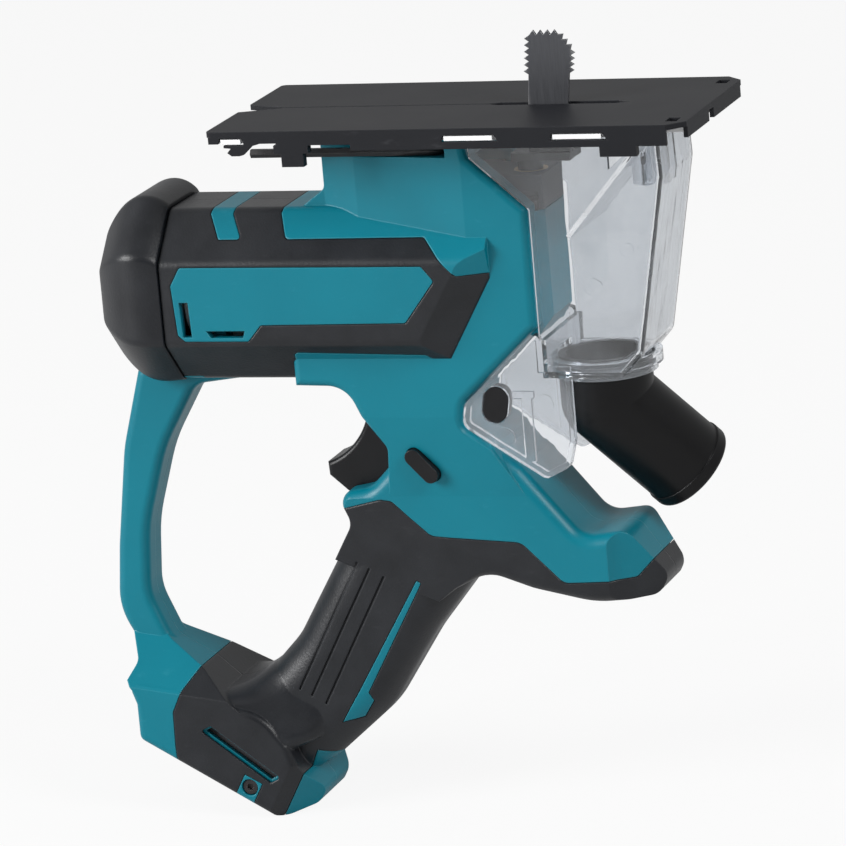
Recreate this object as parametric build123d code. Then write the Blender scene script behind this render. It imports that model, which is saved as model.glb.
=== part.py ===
from build123d import *
from math import acos, atan2, cos, hypot, pi, radians, sin, sqrt, tan
import os

# All sizes in millimetres. Origin: middle of the base slot on the top face of the base cover.
# +Z is the way the blade points, +X towards the dust nozzle, -Y the side seen in the photograph.
# The base is drawn in this frame. All other parts are drawn lower by lift and moved up when saved.
lift = 2.6

# Base
base_rear = -116.5
base_front = 60.5
base_half = 41.0
cover_thick = 2.0
plate_thick = 2.5
skirt_thick = 1.6
slot_rear = -24.0
slot_front = 30.0
slot_half = 2.2

# Housing walls
rubber = 1.4
gap = 0.3
wall = 3.4
seam = 0.25

# Motor barrel
motor_z = -68.0
barrel_rear = -143.5
barrel_front = -20.0
barrel_half = 31.3
barrel_rise = 31.8
barrel_top_half = 14.5
barrel_side_half = 14.8

# Handle: t runs forward along the foot, n up the grip
tilt = 28.8
grip_half = 17.5
foot_half = 26.0
loop_half = 8.5
core_half = 24.0
nose_half = 21.5

# Drive train
module = 0.65
pinion_teeth = 12
gear_teeth = 48
gear_z = motor_z + module * (pinion_teeth + gear_teeth) / 2
gear_rear = -44.0
gear_front = -36.0
stroke = 6.0
crank_arm = stroke / 2
pin_radius = 2.5
roller_radius = 4.0
rod_x = -9.0
rod_radius = 4.5
tail_radius = 3.5
running = 0.05

# Blade
blade_half = 0.6
blade_lean = 0.12

# Motor
can_radius = 23.0
can_rear = -138.0
can_front = -72.0
shaft_radius = 2.5

# Hand parts
lock_x = -51.6
lock_z = -130.0
lock_length = 14.9
lock_width = 5.7
lock_angle = -47.0
wrench_y = -19.0
wrench_z = -15.2
wrench_flats = 3.0
base_screw_x = (-76.0, -46.0)
base_screw_y = 6.0

# Dust case and nozzle
case_half = 23.6
case_wall = 2.0
case_corner = 5.0
neck_x = 13.0
nozzle_radius = 16.8
nozzle_wall = 2.4
nozzle_drop = -111.0
nozzle_slope = 46.0
nozzle_turn = 40.0
nozzle_reach = 44.0

side_plane = Plane(origin=(0, 0, 0), x_dir=(1, 0, 0), z_dir=(0, -1, 0))
cross_plane = Plane(origin=(0, 0, 0), x_dir=(0, 1, 0), z_dir=(1, 0, 0))
hand_plane = Plane(
    origin=(0, 0, 0),
    x_dir=(cos(radians(tilt)), 0, -sin(radians(tilt))),
    z_dir=(0, -1, 0),
)


def inset_points(points, distance):
    # Moves every side of an anticlockwise outline inwards, keeping its corners
    moved = []
    count = len(points)
    for i in range(count):
        here = points[i]
        before = points[i - 1]
        after = points[(i + 1) % count]
        ax, ay = here[0] - before[0], here[1] - before[1]
        bx, by = after[0] - here[0], after[1] - here[1]
        la, lb = hypot(ax, ay), hypot(bx, by)
        ax, ay, bx, by = ax / la, ay / la, bx / lb, by / lb
        turn = ax * by - ay * bx
        nx, ny = -(ay + by), ax + bx
        reach = distance / (nx * -ay + ny * ax)
        radius = here[2] if len(here) > 2 else 0
        if radius > 0:
            radius = max(radius - distance, 0.3) if turn > 0 else radius + distance
        moved.append((here[0] + nx * reach, here[1] + ny * reach, radius))
    return moved


def rounded_face(points):
    # Outline of straight lines; a third number on a corner is its radius
    corners = []
    count = len(points)
    for i in range(count):
        here = points[i]
        radius = here[2] if len(here) > 2 else 0
        if radius <= 0:
            corners.append((here[:2], None, here[:2]))
            continue
        before = points[i - 1]
        after = points[(i + 1) % count]
        ax, ay = before[0] - here[0], before[1] - here[1]
        bx, by = after[0] - here[0], after[1] - here[1]
        la, lb = hypot(ax, ay), hypot(bx, by)
        ax, ay, bx, by = ax / la, ay / la, bx / lb, by / lb
        half = acos(max(-1.0, min(1.0, ax * bx + ay * by))) / 2
        cut = radius / tan(half)
        mx, my = ax + bx, ay + by
        lm = hypot(mx, my)
        out = radius / sin(half) - radius
        corners.append((
            (here[0] + ax * cut, here[1] + ay * cut),
            (here[0] + mx / lm * out, here[1] + my / lm * out),
            (here[0] + bx * cut, here[1] + by * cut),
        ))
    edges = []
    for i in range(count):
        start, middle, end = corners[i]
        if middle:
            edges.append(ThreePointArc(start, middle, end))
        follow = corners[(i + 1) % count][0]
        if hypot(follow[0] - end[0], follow[1] - end[1]) > 1e-4:
            edges.append(Line(end, follow))
    return make_face(edges)


def side_block(points, near, far, plane=side_plane):
    # Solid between Y = near and Y = far with the outline in the X-Z or handle plane
    lifted = Plane(origin=(0, far, 0), x_dir=plane.x_dir, z_dir=plane.z_dir)
    return extrude(lifted * rounded_face(points), far - near)


def cross_block(points, rear, front):
    lifted = Plane(origin=(rear, 0, 0), x_dir=cross_plane.x_dir, z_dir=cross_plane.z_dir)
    return extrude(lifted * rounded_face(points), front - rear)


def flat_block(points, low, high):
    return extrude(Plane.XY.offset(low) * rounded_face(points), high - low)


def box(x0, x1, y0, y1, z0, z1):
    return Pos((x0 + x1) / 2, (y0 + y1) / 2, (z0 + z1) / 2) * Box(x1 - x0, y1 - y0, z1 - z0)


def along_x(radius, x0, x1, y=0.0, z=0.0):
    return Pos((x0 + x1) / 2, y, z) * Rot(0, 90, 0) * Cylinder(radius, x1 - x0)


def along_y(radius, y0, y1, x=0.0, z=0.0):
    return Pos(x, (y0 + y1) / 2, z) * Rot(90, 0, 0) * Cylinder(radius, y1 - y0)


def along_z(radius, z0, z1, x=0.0, y=0.0):
    return Pos(x, y, (z0 + z1) / 2) * Cylinder(radius, z1 - z0)


def hand(t, n, y=0.0):
    # Point in the handle's own directions
    a = radians(tilt)
    return (t * cos(a) + n * sin(a), y, n * cos(a) - t * sin(a))


def round_near(solid, y, radius):
    # Rounds the rim of the face that lies at Y = y
    rim = [e for e in solid.edges() if abs(e.bounding_box().min.Y - y) < 1e-3
           and abs(e.bounding_box().max.Y - y) < 1e-3]
    return fillet(rim, radius)


def both_sides(solid):
    return solid + mirror(solid, about=Plane.XZ)


# Half outlines of the housing, anticlockwise seen from the camera

core_outline = [
    (-98, -100.6), (-79, -101, 11), (-74, -112.2, 8), (-65, -124, 5), (-66, -142),
    (-14, -142), (-25, -124), (-36, -116, 5), (-34.5, -107, 5), (-4.5, -79, 2),
    (-4.5, -36, 2), (-25.5, -17, 2), (-27.5, -10, 1), (-84, -10, 1), (-84, -30, 3), (-98, -40),
]

nose_outline = [
    (-66, -110), (-65.2, -124, 5), (-65.4, -131, 8), (-74, -139.5, 8), (-88, -142.2, 5.2), (-83, -153.5, 6),
    (-91, -167.5), (-52, -183), (-45, -178, 10), (-32, -171.5, 14),
    (-15, -177.5, 30), (8, -182.5, 40), (30.5, -180.5, 5), (34, -174, 5),
    (21, -155.5, 6), (5, -157.5, 9), (-16, -132), (-33, -119.5), (-40, -112),
]

grip_outline = [
    (1, -160), (-1.5, -228, 30), (-9, -256, 20), (-9, -274), (24.5, -274), (31, -262, 8),
    (41, -236, 40), (44, -202, 60), (49, -176), (30, -160),
]

foot_outline = [
    (-50.4, -270.5, 3), (-43.5, -276.8, 2), (-37, -288.5, 3), (24, -289.5, 8),
    (32.5, -281, 5), (32.5, -274.5, 4), (24, -270.5, 4), (15, -262), (2, -256, 20), (-30, -262.8),
]

# Flare of the grip into the foot: height, rear, front, half width, corner
flare_steps = [
    (-240, -3.6, 30, 16.4, 12), (-250, -9.5, 27, 19.4, 11), (-258, -18, 22, 24.2, 8),
    (-264, -26, 17, 25.4, 6), (-270, -27, 15.5, 25.2, 5),
]

# Middle of the foot's top, which runs up into the rear loop
roof_outline = [
    (-179.5, -192), (-172, -207, 3), (-174.6, -212.5), (-168, -222), (-150, -231), (-126, -231), (-128, -226),
    (-131, -223.5), (-147, -209.5, 12), (-163, -200, 8), (-168, -192),
]

loop_outline = [
    (-160, -92), (-165.5, -99), (-174, -128, 60), (-179.8, -165.6, 60), (-182.3, -190, 25),
    (-171, -210.5), (-162, -224), (-150, -224), (-149, -210), (-162, -200.5, 10), (-169, -184, 20),
    (-167, -158, 60), (-157.5, -128, 60), (-143, -104, 8), (-120, -101), (-120, -92),
]

# Rubber zones and the places left open in them, seen from the side
barrel_zone = [
    (barrel_rear, -98.5), (-136, -98.5), (-134, -112), (-101, -112), (-95.5, -87, 2), (-45.6, -88.5, 2),
    (-42.4, -93, 2), (0, -93), (0, -58.5), (-30.5, -58.5, 1), (-43.5, -45.6, 2), (-96, -45.8, 2),
    (-99.5, -38), (-97, -25), (barrel_rear, -25),
]

band_window = [
    (-122, -46, 1), (-113, -46, 1), (-118, -38), (-115.5, -25), (-124.5, -25), (-127, -38),
]

panel_window = [
    (-138.3, -79.5, 1.5), (-135.5, -82, 1.5), (-111, -82, 1), (-105.8, -76, 1), (-50.6, -75.5, 1.5),
    (-38.5, -60, 1.5), (-43, -54.5, 1.5), (-135.5, -54.2, 1.5), (-139.5, -61, 1.5),
]

vent_slots = [
    [(-136.7, -67.3), (-136.2, -80.2), (-132.7, -80.2), (-133.2, -67.3)],
    [(-127.1, -77.9), (-125.4, -80.5), (-113, -80.5), (-112.2, -77.9)],
]


def hand_xz(t, n, radius=0):
    x, y, z = hand(t, n)
    return (x, z, radius)


grip_zone = [
    (-110, -152), hand_xz(-16, -236), hand_xz(-28, -248), hand_xz(-30, -263), hand_xz(-29.5, -272),
    hand_xz(-23.5, -283.5), hand_xz(-16, -296), hand_xz(24, -296), hand_xz(24, -262), hand_xz(48, -258),
    (60, -235), (60, -135), (23.5, -173.2, 2), (-2.3, -174.3, 5), (-17.4, -159.2, 6), (-51.5, -157.1, 5),
    (-65.5, -144, 3), (-70, -143.4, 3), (-84, -147),
]

stripe_window = [
    (28.2, -247), (34.8, -241.4), (35.6, -233.5, 1), (32.8, -231), (33.9, -182, 0.8), (31.6, -182, 0.8),
    (29.3, -231.5),
]
slot_window = [(-17.2, -273.4, 1), (14.8, -278.2, 1), (17.6, -274.2, 1), (-14.6, -269.4, 1)]
screw_window = [(4.6, -292), (12.4, -292), (12.4, -279.8), (4.6, -279.8)]


def barrel_points(grow=0.0, scale=1.0, lift=0.0, corner=5.0):
    # Eight-sided section of the barrel in Y and Z
    wide = (barrel_half + grow) * scale
    high = (barrel_rise + grow) * scale
    across = (barrel_top_half + 0.41 * grow) * scale
    up = (barrel_side_half + 0.41 * grow) * scale
    z = motor_z + lift
    r = max(corner * scale, 0.5)
    return [
        (across, z - high, r), (wide, z - up, r), (wide, z + up, r), (across, z + high, r),
        (-across, z + high, r), (-wide, z + up, r), (-wide, z - up, r), (-across, z - high, r),
    ]


def barrel_half_block(inset):
    front = barrel_front - 0.4 * inset
    body = cross_block(barrel_points(-inset), barrel_rear, front)
    slant_keep = [
        (barrel_rear - 1, motor_z - 60), (-39 - 0.3 * inset, motor_z - 60),
        (-17 - inset, motor_z + 10), (-17 - inset, motor_z + 24), (-30 - inset, motor_z + 60),
        (barrel_rear - 1, motor_z + 60),
    ]
    body = body & side_block(slant_keep, -60, 60)
    # Slanted end that runs back to the flat core
    knife = Plane(
        origin=(-38 - inset, -(barrel_half - inset), motor_z),
        x_dir=(0.5, 0, 0.866),
        z_dir=(0.45, -0.85, -0.26),
    )
    body = split(body, bisect_by=knife, keep=Keep.BOTTOM)
    return body & box(-300, 100, -60, 0, -300, 60)


def outline_half(points, half, inset, edge, plane=side_plane):
    solid = side_block(inset_points(points, inset), -(half - inset), 0, plane)
    return round_near(solid, -(half - inset), max(edge - inset, 0.4))


def core_half_block(inset):
    core = outline_half(core_outline, core_half, inset, 3.0)
    # The head is narrower at the rear
    corner = [
        (-110, -60), (-27, -60), (-27, -core_half - 0.1 + inset), (-70, -17.5 + inset),
        (-84 + inset, -12 + inset), (-110, -12 + inset),
    ]
    core = core - flat_block(corner, -60, 5)
    # The side leans in to meet the nose without a step
    lean = Plane(
        origin=(0, -(core_half - inset), -112),
        x_dir=(1, 0, 0),
        z_dir=(0, 30, core_half - nose_half),
    )
    return split(core, bisect_by=lean, keep=Keep.TOP)


def lean_in(solid, half, n_from, n_to, half_to, inset):
    # Slants the side inwards between two heights of the handle
    a = radians(tilt)
    x, y, z = hand(0, n_from)
    rise = half - half_to
    knife = Plane(
        origin=(x, -(half - inset), z),
        x_dir=hand_plane.x_dir,
        z_dir=(rise * sin(a), n_from - n_to, rise * cos(a)),
    )
    return split(solid, bisect_by=knife, keep=Keep.TOP)


def flare_half(inset):
    sections = []
    for n, rear, front, half, corner in flare_steps:
        level = Plane(origin=hand(0, n), x_dir=hand_plane.x_dir, z_dir=hand(0, 1))
        side = inset - half
        section = [
            (rear + inset, 0), (rear + inset, side, corner - inset),
            (front - inset, side, corner - inset), (front - inset, 0),
        ]
        sections.append(level * rounded_face(section))
    return loft(sections)


def handle_half(inset):
    nose = outline_half(nose_outline, nose_half, inset, 5.0)
    plan = [(-120, 30), (-120, -60), (12, -60), (12, -nose_half, 12), (35, -10, 7), (46, 30)]
    nose = nose & flat_block(inset_points(plan, inset), -220, -90)
    nose = lean_in(nose, nose_half, -160, -186, grip_half, inset)
    grip = outline_half(grip_outline, grip_half, inset, 13.5, hand_plane)
    foot = outline_half(foot_outline, foot_half, inset, 2.6, hand_plane)
    # The front corner of the foot is cut off at 45 degrees
    toe = Plane(origin=hand(0, -300), x_dir=hand_plane.x_dir, z_dir=hand(0, 1))
    back = 1.41 * inset
    corner = [(19 - back, -26.3), (19 - back, -40), (60, -40), (60, 14.7 + back)]
    foot = foot - extrude(toe * rounded_face(corner), 60)
    # The top of the foot slants up from its sides to the loop
    roof = side_block(inset_points(roof_outline, inset), -(foot_half - inset), 0.0)
    slant = Plane(origin=(-175, -24.5, -213), x_dir=(22, 0, -3), z_dir=(52.5, -344, 385))
    roof = split(roof, bisect_by=slant.offset(-inset), keep=Keep.BOTTOM)
    return core_half_block(inset) + nose + grip + foot + roof + flare_half(inset)


def loop_half_block():
    return outline_half(loop_outline, loop_half, 0.0, 3.5)


def side_zone(points, grow, plane=side_plane):
    return side_block(inset_points(points, -grow), -80, 0.0, plane)


def rear_sections(inset):
    # Sections of the domed rear cover, from the barrel backwards: X, size, lift
    steps = [
        (barrel_rear - 0.3, 1.03, 0.5), (-150, 1.09, 2.0), (-157.2, 1.06, 2.2), (-163.5, 0.93, 1.8),
        (-168.5, 0.76, 1.2), (-172, 0.55, 0.6),
    ]
    faces = []
    for x, scale, lift in steps:
        lifted = Plane(origin=(x + (inset if x < -168 else 0), 0, 0), x_dir=(0, 1, 0), z_dir=(1, 0, 0))
        faces.append(lifted * rounded_face(barrel_points(-inset, scale, lift, 4.0)))
    return loft(faces)


os.makedirs("parts", exist_ok=True)


def save(name, solid, up=lift):
    export_step(Pos(0, 0, up) * solid, "parts/" + name + ".step")


def hand_block(points, near, far):
    return side_block(points, near, far, hand_plane)


def hand_box(t0, t1, n0, n1, near, far):
    return hand_block([(t0, n0), (t1, n0), (t1, n1), (t0, n1)], near, far)


def pill(x, z, length, width, angle, near, far):
    # Long round-ended block through the housing, its length at an angle in X-Z
    a = radians(angle)
    half = (length - width) / 2
    dx, dz = half * cos(a), half * sin(a)
    nx, nz = -sin(a) * width / 2, cos(a) * width / 2
    edges = [
        Line((x - dx - nx, z - dz - nz), (x + dx - nx, z + dz - nz)),
        ThreePointArc((x + dx - nx, z + dz - nz), (x + dx + cos(a) * width / 2, z + dz + sin(a) * width / 2),
                      (x + dx + nx, z + dz + nz)),
        Line((x + dx + nx, z + dz + nz), (x - dx + nx, z - dz + nz)),
        ThreePointArc((x - dx + nx, z - dz + nz), (x - dx - cos(a) * width / 2, z - dz - sin(a) * width / 2),
                      (x - dx - nx, z - dz - nz)),
    ]
    lifted = Plane(origin=(0, far, 0), x_dir=side_plane.x_dir, z_dir=side_plane.z_dir)
    return extrude(lifted * make_face(edges), far - near)


# Housing halves and their rubber sleeves

outer_handle = handle_half(0.0)
outer_barrel = barrel_half_block(0.0)
loop = loop_half_block() - rear_sections(-gap) - box(barrel_rear - 0.5, barrel_rear, -20, 1, -101, -80)

windows_barrel = [band_window, panel_window]
barrel_groove = (outer_barrel & side_zone(barrel_zone, 0.0)) - barrel_half_block(rubber + gap) - outer_handle
barrel_sleeve = (outer_barrel & side_zone(barrel_zone, -seam)) - barrel_half_block(rubber) - outer_handle
for window in windows_barrel:
    barrel_groove = barrel_groove - side_zone(window, -seam)
    barrel_sleeve = barrel_sleeve - side_zone(window, 0.0)

under_handle = handle_half(rubber + gap)
grip_groove = (outer_handle & side_zone(grip_zone, 0.0)) - under_handle
grip_sleeve = (outer_handle & side_zone(grip_zone, -seam)) - handle_half(rubber)
grip_groove = grip_groove - outer_barrel - side_zone(stripe_window, -seam, hand_plane)
grip_groove = grip_groove - side_zone(screw_window, -seam, hand_plane)
grip_sleeve = grip_sleeve - side_zone(stripe_window, 0.0, hand_plane)
grip_sleeve = grip_sleeve - side_zone(screw_window, 0.0, hand_plane)
grip_sleeve = grip_sleeve - side_zone(slot_window, 0.0, hand_plane) - loop
grip_sleeve = grip_sleeve - hand_box(-40, 17, -167.6, -137.6, -10.9, 1)
grip_sleeve = grip_sleeve - hand_box(-33.3, 23.3, -295, -280, -19.3, 1)
for t in (8.8, 13.9, 20.0):
    grip_sleeve = grip_sleeve - hand_box(t - 0.4, t + 0.4, -243, -187, -grip_half - 1, -grip_half + 0.9)

hollow = handle_half(wall) + barrel_half_block(wall)
half_shell = outer_handle + outer_barrel + loop - barrel_groove - grip_groove - hollow

# Rings that hold the motor can, with a way through for the motor leads
for x in (-124.0, -94.0):
    ring = barrel_half_block(wall - 0.6) & box(x - 2, x + 2, -60, 0, -130, 0)
    ring = ring - along_x(can_radius + gap, x - 3, x + 3, 0, motor_z) - box(x - 3, x + 3, -8, 1, -97, -85)
    half_shell = half_shell + ring

# Bosses: X, Z, depth of the half at that place
boss_places = [
    (-74.0, -29.0, 15.0), (-62.0, -111.0, 22.0), (-24.0, -150.0, 20.0), (16.0, -168.0, 15.0),
    hand(36, -182)[::2] + (15.0,), hand(-4, -257.5)[::2] + (22.0,), hand(-38, -277)[::2] + (23.0,),
]
for x, z, depth in boss_places:
    half_shell = half_shell + (along_y(3.6, -depth, 0, x, z) & under_handle)
    half_shell = half_shell - along_y(1.8, -depth + 4, 1, x, z)
half_shell = half_shell - along_y(1.8, -5, 1, -175.3, -160)

# Bosses for the base screws
for x in base_screw_x:
    half_shell = half_shell + along_z(4.4, -23, -11, x, -base_screw_y)
    half_shell = half_shell - along_z(2.2, -24, 0, x, -base_screw_y)

# Nose that closes the front over the plunger, open above for its guide and the clamp
nose_plan = [(-14, 1), (-14, -14.6), (-4.4, -14.6, 1), (-1.2, -11.4, 1), (-1.2, 1)]
nose_side = [(-14, -84), (-6, -84), (-1.2, -77.5), (-1.2, -38.6), (-14, -38.6)]
half_shell = half_shell + (flat_block(nose_plan, -86, -30) & side_block(nose_side, -20, 0))
half_shell = half_shell - box(-34, -3.4, -13, 1, -78.8, -17.5) - box(-34, 2, -13, 1, -38.6, -17.5)

# Trigger slot, lock-off hole, vents, battery mouth
half_shell = half_shell - hand_box(-40, 17, -167.6, -137.6, -10.9, 1)
half_shell = half_shell - pill(lock_x, lock_z, lock_length + 0.6, lock_width + 0.6, lock_angle, -40, 1)
for slot in vent_slots:
    half_shell = half_shell - side_block(slot, -40, -25)
half_shell = half_shell - hand_box(-33, 23, -295, -280, -19, 1)
half_shell = half_shell - along_y(3.2, -30, -23.5, *hand(8.5, -283.6)[::2])
half_shell = half_shell - along_y(1.8, -30, -18, *hand(8.5, -283.6)[::2])
half_shell = half_shell - hand_block(inset_points(slot_window, 0.9), -30, -foot_half + wall + 1)

housing_right = mirror(half_shell, about=Plane.XZ)
for x, z, depth in boss_places:
    housing_right = housing_right - along_y(3.5, depth - 5, 40, x, z) - along_y(1.8, 0, 40, x, z)
housing_right = housing_right - along_y(3.5, 5, 12, -175.3, -160) - along_y(1.8, -1, 12, -175.3, -160)

# The hex wrench lies in a groove of the left half only
wrench_bed = box(-80, -33, -22, -15.5, -19, -11.5) & outer_handle
housing_left = half_shell + wrench_bed
housing_left = housing_left - box(-90, -33.4, -26, wrench_y + 1.9, wrench_z - 1.9, wrench_z + 1.9)
housing_left = housing_left - box(-42.5, -33.4, -26, -2, wrench_z - 1.9, wrench_z + 1.9)
save("housing_left", housing_left)
save("housing_right", housing_right)
save("barrel_sleeve_left", barrel_sleeve)
save("barrel_sleeve_right", mirror(barrel_sleeve, about=Plane.XZ))
save("grip_sleeve_left", grip_sleeve)
grip_sleeve_right = mirror(grip_sleeve, about=Plane.XZ)
for x, z, depth in boss_places:
    grip_sleeve_right = grip_sleeve_right - along_y(3.9, 0, 40, x, z)
save("grip_sleeve_right", grip_sleeve_right)
save("rear_cover", rear_sections(0.0) - rear_sections(3.0))

# Screws: head, shaft and a six-sided recess


def screw_y(x, z, head_low, head_high, head_radius, shaft_radius, tip):
    # Screw along Y; the head lies between the two Y values, the tip is the far end of the shaft
    head = along_y(head_radius, head_low, head_high, x, z)
    outside = head_high if tip < head_low else head_low
    shaft_end = head_low if tip < head_low else head_high
    shaft = along_y(shaft_radius, min(tip, shaft_end), max(tip, shaft_end), x, z)
    recess = Plane(origin=(x, outside, z), x_dir=(1, 0, 0), z_dir=(0, 1 if tip < head_low else -1, 0))
    return head + shaft - extrude(recess * RegularPolygon(head_radius * 0.5, 6), -1.2)


housing_screws = [screw_y(x, z, d - 5, d - 2.6, 3.0, 1.5, -d + 6) for x, z, d in boss_places]
housing_screws.append(screw_y(-175.3, -160, 5, 7, 3.0, 1.5, -4))
save("housing_screws", Compound(housing_screws))

foot_x, foot_z = hand(8.5, -283.6)[::2]
foot_screw = screw_y(foot_x, foot_z, -25.3, -23.5, 2.8, 1.5, -19.4)
save("foot_screws", Compound([foot_screw, mirror(foot_screw, about=Plane.XZ)]))

# Base: black cover, bright plate under it, bracket and screws

cover_outline = [
    (base_rear, -base_half, 2), (base_front - 6, -base_half), (base_front, -base_half + 6),
    (base_front, base_half - 6), (base_front - 6, base_half), (base_rear, base_half, 2),
    (base_rear, 6.5), (base_rear + 15, 1, 1), (base_rear + 15, -1, 1), (base_rear, -6.5),
]
base_slot = [
    (slot_rear, 0), (slot_rear + 5, -slot_half), (slot_front - 5, -slot_half), (slot_front, 0),
    (slot_front - 5, slot_half), (slot_rear + 5, slot_half),
]
base_cover = flat_block(cover_outline, -cover_thick, 0) - flat_block(base_slot, -5, 1)
base_cover = base_cover - box(base_rear + 13, slot_rear + 3, -0.5, 0.5, -0.5, 1)
skirt_parts = [(base_rear + 1, -90, 4.4), (-90, -62, 5.2), (-62, 34, 7.4), (34, base_front - 6, 7.4)]
skirt_windows = [(-112, -102.4), (-28.2, -8.1), (12, 31.9)]
skirt = box(-80, -70, -base_half, -base_half + skirt_thick, -5, -cover_thick)
for x0, x1, depth in skirt_parts:
    skirt = skirt + box(x0, x1, -base_half, -base_half + skirt_thick, -depth, -cover_thick)
for x0, x1 in skirt_windows:
    window = [(x0, -4.9), (x1 + 1.2, -4.9), (x1 - 0.6, -2.4), (x0 + 0.8, -2.4)]
    skirt = skirt - side_block(window, -base_half - 1, -base_half + skirt_thick + 1)
legs = [(-91, -78, -8.2), (-88.3, -80, -13), (30, 43.4, -11)]
for x0, x1, low in legs:
    skirt = skirt + box(x0, x1, -base_half, -base_half + 3.4, low, -5.2)
# Snap foot on a thin arm under the rear window
snap_foot = [
    (-109.8, -4.9), (-102.2, -4.9), (-102.2, -3), (-96, -3), (-96, -4.4), (-99, -5.2), (-102.5, -8.4),
    (-104, -8.8), (-107, -8.8), (-108.6, -7.6), (-107.2, -6), (-109.8, -5.8),
]
skirt = skirt + side_block(snap_foot, -base_half, -base_half + skirt_thick)
base_cover = base_cover + both_sides(skirt)
flange = box(base_front - 1.6, base_front, -base_half + 7, base_half - 7, -6, -cover_thick)
base_cover = base_cover + flange - box(base_front - 2, base_front + 1, -7, -1, -8, -2.2)
for side in (-1, 1):
    base_cover = base_cover - box(52.6, 57, side * 32 - 3, side * 32 + 3, -5, 1)
save("base_cover", base_cover, 0)

plate_half = base_half - skirt_thick - 0.4
base_plate = box(-112, 58.4, -plate_half, plate_half, -cover_thick - plate_thick, -cover_thick)
base_plate = base_plate - flat_block([(-120, -9), (-98, -1.6, 2), (-98, 1.6, 2), (-120, 9)], -9, 0)
base_plate = base_plate - box(slot_rear - 2, slot_front + 2, -4, 4, -9, 0)
for side in (-1, 1):
    base_plate = base_plate - box(50, 70, side * base_half - 9, side * base_half + 9, -9, 0)
for x0, x1 in skirt_windows:
    tab = box(x0 + 1.2, x1 - 1.0, -base_half + 0.2, -plate_half, -4.5, -2.8)
    base_plate = base_plate + both_sides(tab)
bracket_low, bracket_high = -10.0 + lift, -cover_thick - plate_thick
base_bracket = box(-82, -30, -11, 11, bracket_low, bracket_high)
base_bracket = base_bracket - box(-83, -29, -7, 7, bracket_low - 1, bracket_low + 0.9)
base_screws = []
for x in base_screw_x:
    for y in (-base_screw_y, base_screw_y):
        base_plate = base_plate - along_z(2.2, -9, 0, x, y) - along_z(3.9, -3.9, 0, x, y)
        base_bracket = base_bracket - along_z(2.2, -12, 0, x, y)
        one = along_z(1.9, -18, -3.8, x, y) + along_z(3.6, -3.8, -2.1, x, y)
        recess = Pos(x, y, -2.1) * extrude(RegularPolygon(1.7, 6), -1.2)
        base_screws.append(one - recess)
save("base_plate", base_plate, 0)
save("base_bracket", base_bracket, 0)
save("base_screws", Compound(base_screws), 0)

# Hex wrench kept in the head
wrench_turn = 4.5
wrench_end = -36.0
wrench_path = Wire([
    Line((-108, wrench_y, wrench_z), (wrench_end - wrench_turn, wrench_y, wrench_z)),
    ThreePointArc(
        (wrench_end - wrench_turn, wrench_y, wrench_z),
        (wrench_end - wrench_turn * (1 - sin(pi / 4)), wrench_y + wrench_turn * (1 - cos(pi / 4)), wrench_z),
        (wrench_end, wrench_y + wrench_turn, wrench_z),
    ),
    Line((wrench_end, wrench_y + wrench_turn, wrench_z), (wrench_end, -4, wrench_z)),
])
wrench_start = Plane(origin=(-108, wrench_y, wrench_z), x_dir=(0, 1, 0), z_dir=(1, 0, 0))
hexagon = RegularPolygon(wrench_flats / 2, 6, major_radius=False)
save("hex_wrench", sweep(wrench_start * hexagon, path=wrench_path))

# Gear case with the plunger guides, bearings and bushes


def ring_x(outer, inner, x0, x1, z):
    solid = along_x(outer, x0, x1, 0, z) - along_x(inner, x0 - 1, x1 + 1, 0, z)
    middle = (outer + inner) / 2
    band = along_x(middle + 1.2, x0 - 1, x1 + 1, 0, z) - along_x(middle - 1.2, x0 - 2, x1 + 2, 0, z)
    return solid - (band - box(x0 + 0.5, x1 - 0.5, -40, 40, z - 40, z + 40))


bearing_radius = 8.0
front_bearing_radius = 9.0
crank_radius = 4.0
case_section = [
    (-19.6, -83), (19.6, -83), (19.6, -50.6), (17.7, -47.5), (16.4, -43.5), (15.7, -41), (15.7, -26),
    (-15.7, -26), (-15.7, -41), (-16.4, -43.5), (-17.7, -47.5), (-19.6, -50.6),
]
gear_case = cross_block(case_section, -56, -24) - along_x(16.8, -47, -30, 0, gear_z)
gear_case = gear_case - along_x(5.4, -47, -32, 0, motor_z)
gear_case = gear_case + box(-24, -1.4, -12, 12, -32, -26) + box(-3.2, -1.4, -12, 12, -38.3, -30)
gear_case = gear_case + box(-24, -3.7, -12, 12, -76, -65.5)
for z in (motor_z, gear_z):
    gear_case = gear_case - along_x(bearing_radius + running, -57, -50, 0, z) - along_x(5, -57, -46, 0, z)
gear_case = gear_case - along_x(front_bearing_radius + running, -31, -23, 0, gear_z)
bush_radius = 6.2
tail_bush = 5.0
gear_case = gear_case - along_z(bush_radius + running, -50, -10, rod_x)
gear_case = gear_case - along_z(tail_bush + running, -90, -50, rod_x)
save("gear_case", gear_case)
upper_bush = along_z(bush_radius, -32, -26, rod_x) - along_z(rod_radius + running, -40, -20, rod_x)
lower_bush = along_z(tail_bush, -76, -65.5, rod_x) - along_z(tail_radius + running, -80, -60, rod_x)
save("upper_bush", upper_bush)
save("lower_bush", lower_bush)
save("motor_front_bearing", ring_x(bearing_radius, shaft_radius + running, -56, -50.2, motor_z))
save("crank_rear_bearing", ring_x(bearing_radius, crank_radius + running, -56, -50.2, gear_z))
save("crank_front_bearing", ring_x(front_bearing_radius, crank_radius + running, -30, -24.2, gear_z))

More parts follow.
